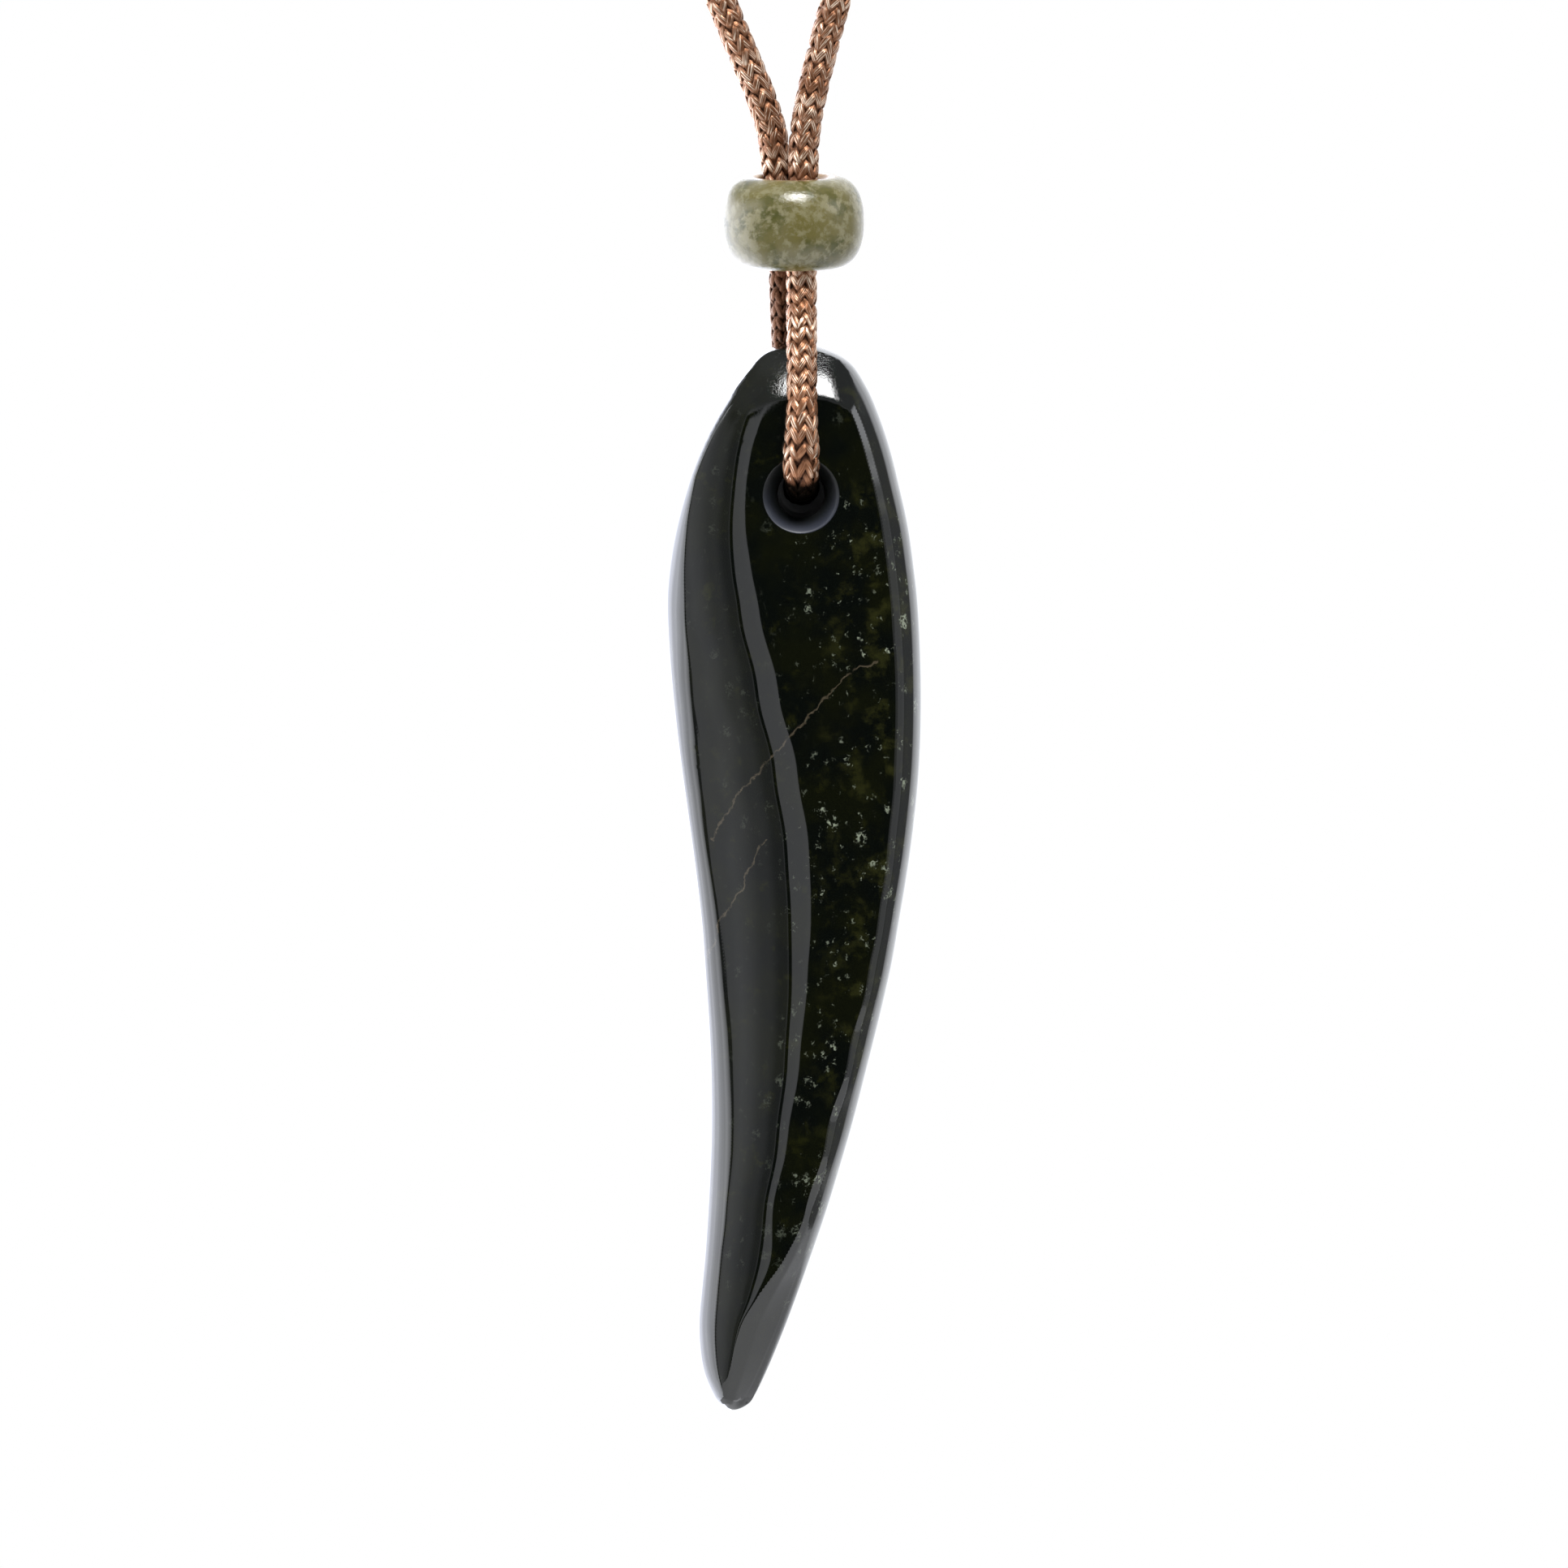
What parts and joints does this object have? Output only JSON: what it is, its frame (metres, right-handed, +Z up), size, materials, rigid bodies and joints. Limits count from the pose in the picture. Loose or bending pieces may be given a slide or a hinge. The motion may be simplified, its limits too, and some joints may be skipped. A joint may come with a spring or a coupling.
{
  "type": "jade pendant on a braided neck cord",
  "caption": "Dark green carved jade drop, shaped like a long twisted tooth, with a mottled jade barrel bead on a whole loop of copper-brown braided neck cord.",
  "frame": {"origin": "underside of the cord's knot at the top of the loop, where a nape, bust or peg carries it", "axes": "+Z up along the hanging loop, the drop's face towards -Y, +X to the viewer's right when the face is seen"},
  "size_m": [0.1013, 0.0084, 0.275],
  "materials": {
    "dark_jade": "polished",
    "pale_jade": "polished",
    "braided_cord": "satin braid"
  },
  "bodies": {
    "cord_loop": {"neck_cord": "braided_cord", "cord_knot": "braided_cord", "jade_bead": "pale_jade"},
    "drop": {"jade_drop": "dark_jade"}
  },
  "joints": [
    {"name": "drop_swing", "type": "hinge", "parent": "cord_loop", "child": "drop", "pos_m": [0.00047, 0, -0.222], "axis": [0, 1, 0], "range_deg": [-35, 35]}
  ]
}
